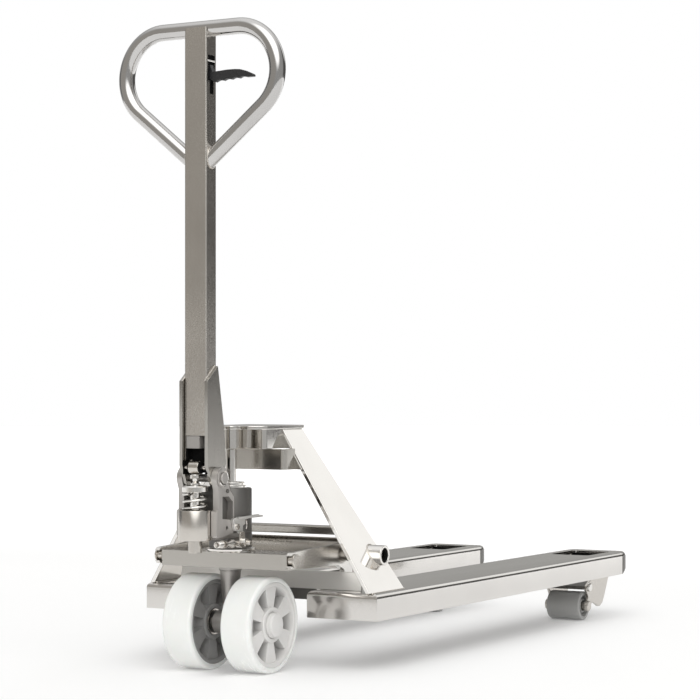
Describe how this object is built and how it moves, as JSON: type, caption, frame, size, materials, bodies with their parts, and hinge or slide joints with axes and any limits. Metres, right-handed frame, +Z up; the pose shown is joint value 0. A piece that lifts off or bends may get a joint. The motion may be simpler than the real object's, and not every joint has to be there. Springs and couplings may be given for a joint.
{
  "type": "pallet jack",
  "caption": "Stainless hand pallet truck with two forks on an A-frame, a steerable pump unit on twin nylon wheels, a long tiller with a loop grip, and rollers in the fork tips.",
  "frame": {"origin": "floor level, under the middle of the truck's length and width", "axes": "+X towards the fork tips, +Y to the left of somebody facing the forks from the tiller, +Z up"},
  "size_m": [1.468, 0.52, 1.2045],
  "materials": {
    "stainless_polished": "polished stainless steel",
    "stainless_brushed": "brushed stainless steel",
    "cast_steel": "cast stainless, bead blasted, dark grey",
    "nylon_white": "satin white nylon",
    "nylon_grey": "satin grey nylon",
    "plastic_black": "satin black plastic"
  },
  "bodies": {
    "traverse": {"traverse_plate": "stainless_brushed", "traverse_bolt_right": "stainless_polished", "traverse_bolt_left": "stainless_polished", "thrust_bearing": "stainless_polished"},
    "frame": {"fork_right": "stainless_polished", "fork_left": "stainless_polished", "leg_right": "stainless_polished", "leg_left": "stainless_polished", "head_cap": "stainless_polished", "head_boss": "stainless_polished", "head_shell": "stainless_brushed", "chest_beam": "stainless_brushed", "upper_brace": "stainless_polished", "lower_cross_plate": "stainless_polished", "shaft_bush_right": "stainless_polished", "shaft_bush_left": "stainless_polished", "lift_ram": "stainless_polished", "bracket_pin_right": "stainless_brushed", "bracket_pin_left": "stainless_brushed"},
    "pump": {"pump_casting": "cast_steel", "main_cylinder": "cast_steel", "cylinder_collar": "stainless_polished", "pump_cylinder": "stainless_brushed", "steering_post": "cast_steel", "steer_axle": "stainless_brushed", "pivot_pin": "stainless_polished", "release_valve": "stainless_polished"},
    "tiller": {"tiller_tube": "stainless_brushed", "handle_loop": "stainless_polished", "tiller_ear_right": "stainless_brushed", "tiller_ear_left": "stainless_brushed", "tiller_block": "nylon_grey", "pressure_roller": "nylon_white", "roller_pin": "stainless_brushed", "lever_pin": "stainless_brushed"},
    "control_lever": {"control_lever": "plastic_black"},
    "release_chain": {"release_chain": "stainless_polished"},
    "release_lever": {"release_lever": "stainless_polished"},
    "plunger": {"pump_plunger": "stainless_polished", "spring_cup": "stainless_polished", "return_spring": "stainless_polished"},
    "wheel_right": {"steer_tyre_right": "nylon_white", "steer_hub_right": "nylon_grey", "hub_cap_right": "nylon_grey"},
    "wheel_left": {"steer_tyre_left": "nylon_white", "steer_hub_left": "nylon_grey", "hub_cap_left": "nylon_grey"},
    "rocker": {"torsion_shaft": "stainless_brushed", "rocker_arm_right": "stainless_polished", "rocker_arm_left": "stainless_polished"},
    "push_rod_right": {"push_rod_right": "stainless_brushed"},
    "push_rod_left": {"push_rod_left": "stainless_brushed"},
    "bracket_right": {"roller_bracket_right": "stainless_brushed", "bracket_bolt_right": "stainless_polished", "load_axle_right": "stainless_brushed"},
    "bracket_left": {"roller_bracket_left": "stainless_brushed", "bracket_bolt_left": "stainless_polished", "load_axle_left": "stainless_brushed"},
    "roller_right": {"load_roller_right": "nylon_grey"},
    "roller_left": {"load_roller_left": "nylon_grey"}
  },
  "joints": [
    {"name": "lift", "type": "slide", "parent": "traverse", "child": "frame", "axis": [0, 0, 1], "range_m": [-0.055, 0.045]},
    {"name": "steer", "type": "hinge", "parent": "traverse", "child": "pump", "pos_m": [-0.584, 0, 0.23], "axis": [0, 0, 1], "range_deg": [-85, 85]},
    {"name": "tiller_tilt", "type": "hinge", "parent": "pump", "child": "tiller", "pos_m": [-0.679, 0, 0.365], "axis": [0, -1, 0], "range_deg": [0, 80], "stiffness_Nm_per_rad": 14, "springref_deg": -8.59},
    {"name": "control_lever", "type": "hinge", "parent": "tiller", "child": "control_lever", "pos_m": [-0.686, 0.01, 1.1085], "axis": [-1, 0, 0], "range_deg": [-10, 10], "stiffness_Nm_per_rad": 3},
    {"name": "release_chain", "type": "slide", "parent": "tiller", "child": "release_chain", "axis": [0, 0, 1], "range_m": [-0.0046, 0.0046]},
    {"name": "release_lever", "type": "hinge", "parent": "pump", "child": "release_lever", "pos_m": [-0.64, -0.047, 0.2745], "axis": [0, 1, 0], "range_deg": [-5.1, 5.1]},
    {"name": "plunger", "type": "slide", "parent": "pump", "child": "plunger", "axis": [0, 0, -1], "range_m": [0, 0.039], "deforming": ["return_spring"]},
    {"name": "wheel_right", "type": "hinge", "parent": "pump", "child": "wheel_right", "pos_m": [-0.584, -0.0643, 0.09], "axis": [0, 1, 0], "continuous": true},
    {"name": "wheel_left", "type": "hinge", "parent": "pump", "child": "wheel_left", "pos_m": [-0.584, 0.0643, 0.09], "axis": [0, 1, 0], "continuous": true},
    {"name": "rocker", "type": "hinge", "parent": "frame", "child": "rocker", "pos_m": [-0.402, 0, 0.2125], "axis": [0, -1, 0], "range_deg": [-15.65, 12.8]},
    {"name": "push_rod_right", "type": "slide", "parent": "frame", "child": "push_rod_right", "axis": [1, 0, 0], "range_m": [-0.0222, 0.0182]},
    {"name": "bracket_right", "type": "hinge", "parent": "frame", "child": "bracket_right", "pos_m": [0.671, -0.184, 0.122], "axis": [0, -1, 0], "range_deg": [-26.7, 21.85]},
    {"name": "roller_right", "type": "hinge", "parent": "bracket_right", "child": "roller_right", "pos_m": [0.553, -0.184, 0.0325], "axis": [0, 1, 0], "continuous": true},
    {"name": "push_rod_left", "type": "slide", "parent": "frame", "child": "push_rod_left", "axis": [1, 0, 0], "range_m": [-0.0222, 0.0182]},
    {"name": "bracket_left", "type": "hinge", "parent": "frame", "child": "bracket_left", "pos_m": [0.671, 0.184, 0.122], "axis": [0, -1, 0], "range_deg": [-26.7, 21.85]},
    {"name": "roller_left", "type": "hinge", "parent": "bracket_left", "child": "roller_left", "pos_m": [0.553, 0.184, 0.0325], "axis": [0, 1, 0], "continuous": true}
  ],
  "couplings": [
    {"joint": "rocker", "follows": "lift", "rad_per_m": 4.95},
    {"joint": "push_rod_right", "follows": "lift", "ratio": 0.4},
    {"joint": "push_rod_left", "follows": "lift", "ratio": 0.4},
    {"joint": "bracket_right", "follows": "lift", "rad_per_m": 8.45},
    {"joint": "bracket_left", "follows": "lift", "rad_per_m": 8.45},
    {"joint": "plunger", "follows": "tiller_tilt", "m_per_rad": 0.0278},
    {"joint": "release_chain", "follows": "control_lever", "m_per_rad": 0.0255},
    {"joint": "release_lever", "follows": "control_lever", "ratio": 0.5}
  ]
}
